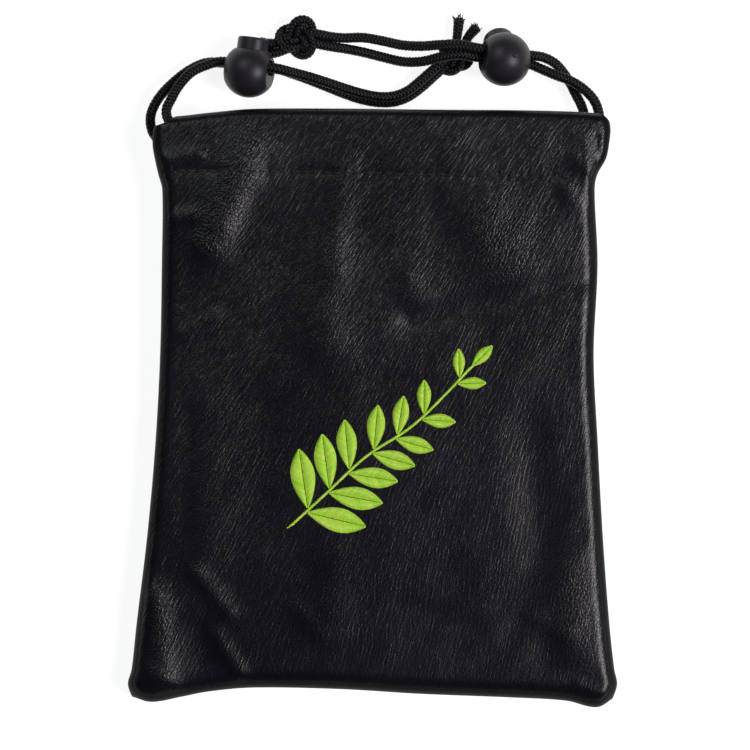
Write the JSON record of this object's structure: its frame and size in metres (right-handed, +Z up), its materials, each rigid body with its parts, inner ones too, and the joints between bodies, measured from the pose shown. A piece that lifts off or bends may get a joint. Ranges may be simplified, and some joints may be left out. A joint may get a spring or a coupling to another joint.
{
  "type": "drawstring pouch",
  "caption": "Flat black leather pouch with a stitched casing at its mouth, drawn shut by a pair of braided cords, each held by a ball lock with a spring button and ended in a knot.",
  "frame": {"origin": "under the middle of the two leather panels, on the surface that the pouch lies on", "axes": "+Y from the bottom seam to the mouth, +X to the right as seen from the front, +Z up out of the front face"},
  "size_m": [0.157, 0.2217, 0.0194],
  "materials": {
    "leather": "soft black grained leather with a low sheen",
    "cord": "black braided nylon",
    "lock_plastic": "satin black moulded plastic"
  },
  "bodies": {
    "pouch": {"front_panel": "leather", "back_panel": "leather", "left_cord": "cord", "right_cord": "cord", "left_lock_body": "lock_plastic", "right_lock_body": "lock_plastic"},
    "left_button": {"left_lock_button": "lock_plastic"},
    "right_button": {"right_lock_button": "lock_plastic"}
  },
  "joints": [
    {"name": "left_button_press", "type": "slide", "parent": "pouch", "child": "left_button", "axis": [-0.1392, -0.9903, 0], "range_m": [0, 0.0022], "stiffness_N_per_m": 500, "springref_m": -0.002},
    {"name": "right_button_press", "type": "slide", "parent": "pouch", "child": "right_button", "axis": [0.1682, -0.664, 0.7286], "range_m": [0, 0.0022], "stiffness_N_per_m": 500, "springref_m": -0.002}
  ]
}
